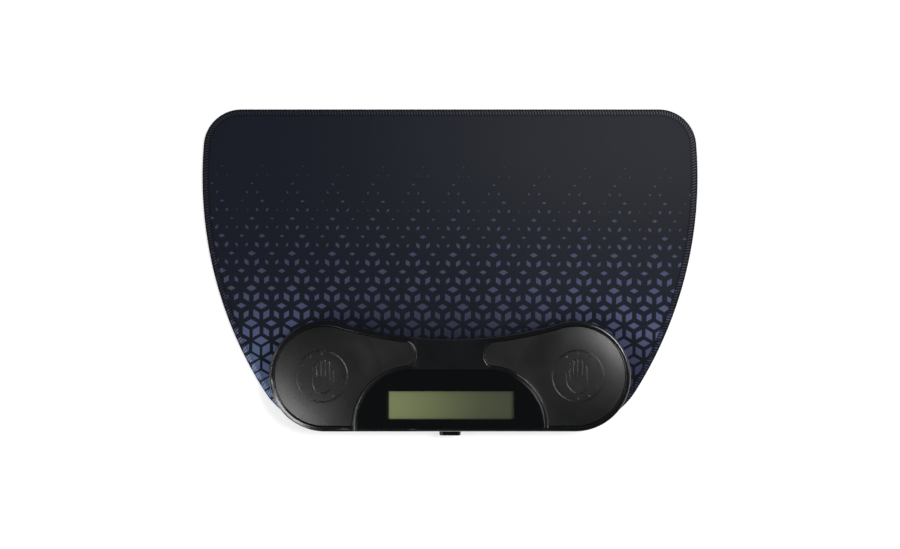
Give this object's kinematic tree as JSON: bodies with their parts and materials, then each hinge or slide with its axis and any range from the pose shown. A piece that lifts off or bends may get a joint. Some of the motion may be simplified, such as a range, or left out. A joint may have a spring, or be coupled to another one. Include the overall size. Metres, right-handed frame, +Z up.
{
  "type": "speed cube timer",
  "caption": "Two-pad speed cube timer with a display, a front button and a sliding battery door, resting on a soft mat with an overlocked edge.",
  "frame": {"origin": "middle of the mat's underside, on the surface that the mat lies on", "axes": "+X to the right, along the timer; +Y away from the user; +Z up; the display and button face the user at -Y"},
  "size_m": [0.368, 0.2413, 0.0254],
  "materials": {
    "foam_rubber": "natural rubber foam with a fine waffle underside",
    "printed_cloth": "fine knitted polyester, dark navy to charcoal, printed",
    "overlock_thread": "dark navy overlock thread",
    "satin_case": "moulded black ABS, satin to gloss",
    "matte_pad": "finely textured matte black ABS",
    "gloss_fascia": "polished black",
    "clear_window": "clear acrylic",
    "lcd_glass": "reflective olive green display",
    "white_plastic": "moulded",
    "silicone_strip": "layered silicone",
    "circuit_board": "green solder mask on glass epoxy",
    "chip_resin": "moulded epoxy",
    "nickel_can": "nickel plate",
    "capacitor_ceramic": "ceramic",
    "zinc_steel": "zinc plated",
    "gloss_button": "polished black ABS",
    "copper_foil": "bare copper foil",
    "wire_sleeve": "red and black insulation",
    "cell_jacket": "printed film over steel, unmarked",
    "spring_steel": "plated wire",
    "foot_rubber": "moulded"
  },
  "bodies": {
    "mat": {"mat_base": "foam_rubber", "mat_fabric": "printed_cloth", "mat_edge_stitching": "overlock_thread"},
    "timer": {"bottom_shell": "satin_case", "top_shell": "satin_case", "left_touch_pad": "matte_pad", "right_touch_pad": "matte_pad", "display_fascia": "gloss_fascia", "display_window": "clear_window", "lcd_panel": "lcd_glass", "lcd_frame": "white_plastic", "lcd_connector_strips": "silicone_strip", "main_board": "circuit_board", "microcontroller": "chip_resin", "crystal": "nickel_can", "board_capacitors": "capacitor_ceramic", "board_screws": "zinc_steel", "button_switch": "chip_resin", "left_sensor_plate": "copper_foil", "right_sensor_plate": "copper_foil", "sensor_leads": "wire_sleeve", "aaa_cells": "cell_jacket", "battery_contacts": "nickel_can", "battery_springs": "spring_steel", "battery_leads": "wire_sleeve", "rubber_feet": "foot_rubber", "case_screws": "zinc_steel"},
    "front_button": {"front_button": "gloss_button", "switch_plunger": "chip_resin"},
    "battery_door": {"battery_door": "satin_case"}
  },
  "joints": [
    {"name": "timer_lift", "type": "slide", "parent": "mat", "child": "timer", "axis": [0, 0, 1], "range_m": [0, 0.03]},
    {"name": "button_press", "type": "slide", "parent": "timer", "child": "front_button", "axis": [0, 1, 0], "range_m": [0, 0.001], "stiffness_N_per_m": 900},
    {"name": "door_slide", "type": "slide", "parent": "timer", "child": "battery_door", "axis": [0, 1, 0], "range_m": [0, 0.03]}
  ]
}
